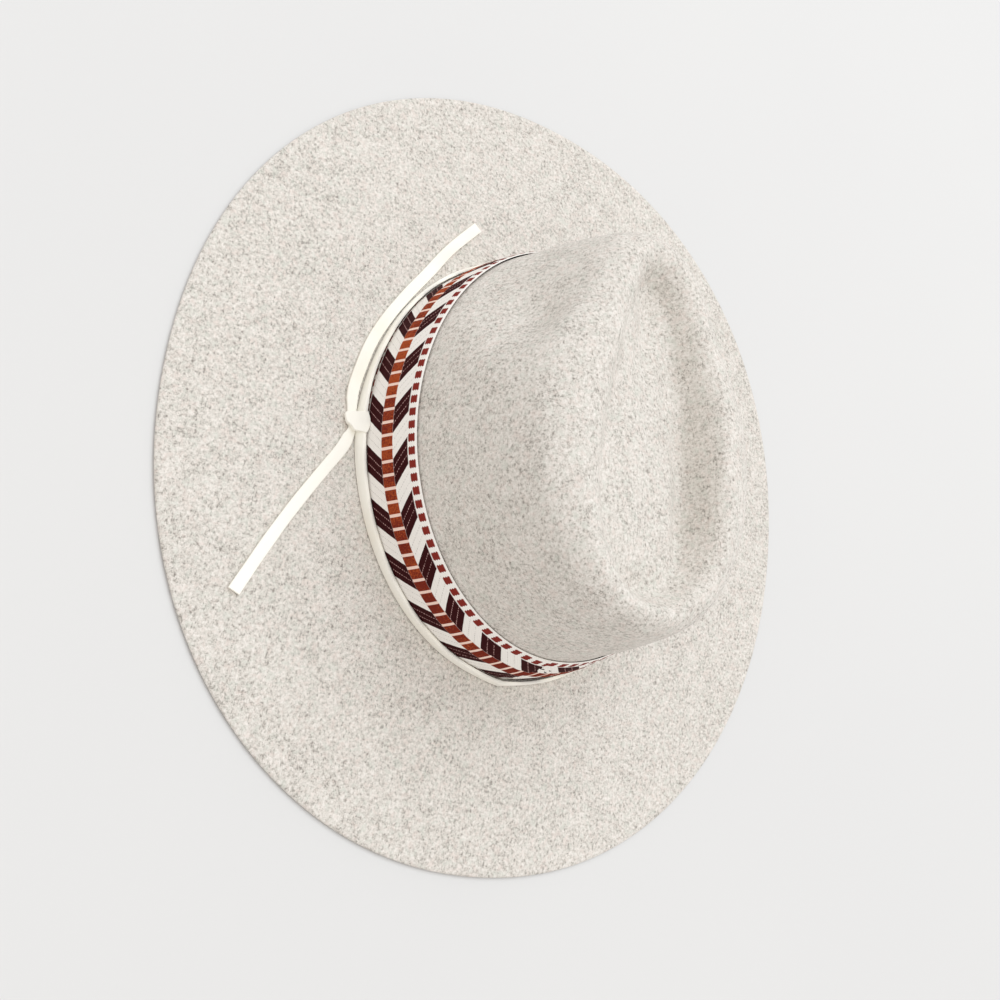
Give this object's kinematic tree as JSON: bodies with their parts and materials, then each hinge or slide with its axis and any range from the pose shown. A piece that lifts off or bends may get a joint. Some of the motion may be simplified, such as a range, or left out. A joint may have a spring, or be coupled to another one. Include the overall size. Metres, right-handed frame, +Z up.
{
  "type": "rancher hat",
  "caption": "Felt hat with a wide flat brim and a teardrop crown, a woven chevron ribbon round the crown, and a flat lace knotted at one side.",
  "frame": {"origin": "middle of the brim's flat underside", "axes": "+Z up out of the crown, -Y to the front of the hat, +X to the wearer's left, where the lace is knotted"},
  "size_m": [0.3556, 0.3874, 0.1085],
  "materials": {
    "felt": "pressed felt, pale warm grey with faint darker and lighter fibres",
    "ribbon": "woven jacquard ribbon, rust, maroon and cream chevrons",
    "lace": "soft faux suede, cream, matt"
  },
  "bodies": {
    "root": {"felt_body": "felt", "hat_band": "ribbon", "lace_loop": "lace", "lace_knot": "lace", "lace_tail_front": "lace", "lace_tail_side": "lace"}
  },
  "joints": []
}
